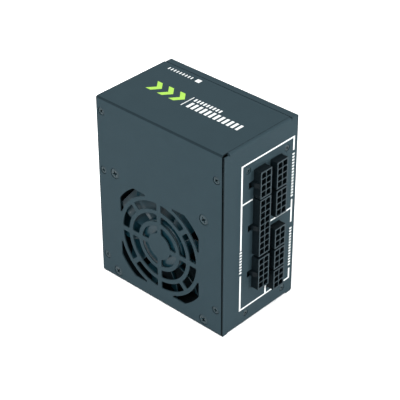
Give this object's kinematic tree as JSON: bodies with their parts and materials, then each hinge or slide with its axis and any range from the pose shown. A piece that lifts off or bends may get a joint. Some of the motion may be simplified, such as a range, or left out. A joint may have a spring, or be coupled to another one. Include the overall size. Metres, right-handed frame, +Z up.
{
  "type": "power supply unit",
  "caption": "Small modular computer power supply: folded sheet case with a fan grille, rows of pin sockets, a mains inlet and a rocker switch.",
  "frame": {"origin": "middle of the side it stands on", "axes": "+Z up, along the supply's 125 mm width; +Y from the fan face to the label side; +X from the mains panel to the connector panel"},
  "size_m": [0.1087, 0.0636, 0.125],
  "materials": {
    "black_powder_coat": "satin powder coat",
    "black_screw": "black oxide",
    "fan_plastic": "moulded",
    "socket_plastic": "moulded nylon",
    "board_green": "solder mask",
    "bright_steel": "ground",
    "blade_brass": "plated",
    "copper": "enamelled copper",
    "heatsink_aluminium": "extruded",
    "ferrite": "sintered",
    "capacitor_sleeve": "shrink sleeve",
    "yellow_plastic": "moulded",
    "insulation_film": "film",
    "wire_insulation": "insulation"
  },
  "bodies": {
    "housing": {"base_shell": "black_powder_coat", "fan_cover": "black_powder_coat", "cover_screw_1": "black_screw", "cover_screw_2": "black_screw", "cover_screw_3": "black_screw", "cover_screw_4": "black_screw", "cover_screw_5": "black_screw", "fan_screw_1": "black_screw", "fan_screw_2": "black_screw", "fan_screw_3": "black_screw", "fan_screw_4": "black_screw", "panel_screw_1": "black_screw", "panel_screw_2": "black_screw", "panel_screw_3": "black_screw", "panel_screw_4": "black_screw", "board_screw_1": "black_screw", "board_screw_2": "black_screw", "board_screw_3": "black_screw", "board_screw_4": "black_screw", "fan_frame": "fan_plastic", "socket_8_pin_near": "socket_plastic", "socket_18_pin_near": "socket_plastic", "socket_10_pin_near": "socket_plastic", "socket_8_pin_far_upper": "socket_plastic", "socket_8_pin_far_lower": "socket_plastic", "socket_6_pin_far_upper": "socket_plastic", "socket_6_pin_far_middle": "socket_plastic", "socket_6_pin_far_lower": "socket_plastic", "inlet_housing": "socket_plastic", "switch_housing": "socket_plastic", "modular_board": "board_green", "main_board": "board_green", "inlet_earth_blade": "blade_brass", "inlet_live_blade": "blade_brass", "inlet_neutral_blade": "blade_brass", "shaft_bush": "blade_brass", "fan_stator": "copper", "transformer_winding": "copper", "pfc_choke": "copper", "filter_choke": "copper", "bus_bar_positive": "copper", "bus_bar_return": "copper", "primary_heatsink": "heatsink_aluminium", "secondary_heatsink": "heatsink_aluminium", "transformer_core": "ferrite", "bridge_rectifier": "ferrite", "power_transistor_1": "ferrite", "power_transistor_2": "ferrite", "bulk_capacitor": "capacitor_sleeve", "output_capacitor_1": "capacitor_sleeve", "output_capacitor_2": "capacitor_sleeve", "x_capacitor": "yellow_plastic", "insulation_sheet": "insulation_film", "fan_lead": "wire_insulation", "live_lead": "wire_insulation", "neutral_lead": "wire_insulation"},
    "rotor": {"fan_rotor": "fan_plastic", "rotor_magnet": "ferrite", "fan_shaft": "bright_steel"},
    "rocker": {"switch_rocker": "socket_plastic"}
  },
  "joints": [
    {"name": "fan_spin", "type": "hinge", "parent": "housing", "child": "rotor", "pos_m": [-0.00075, -0.025, 0.0412], "axis": [0, 1, 0], "continuous": true},
    {"name": "power_switch", "type": "hinge", "parent": "housing", "child": "rocker", "pos_m": [-0.0495, 0.004, 0.071], "axis": [0, 0, 1], "range_deg": [0, 22]}
  ]
}
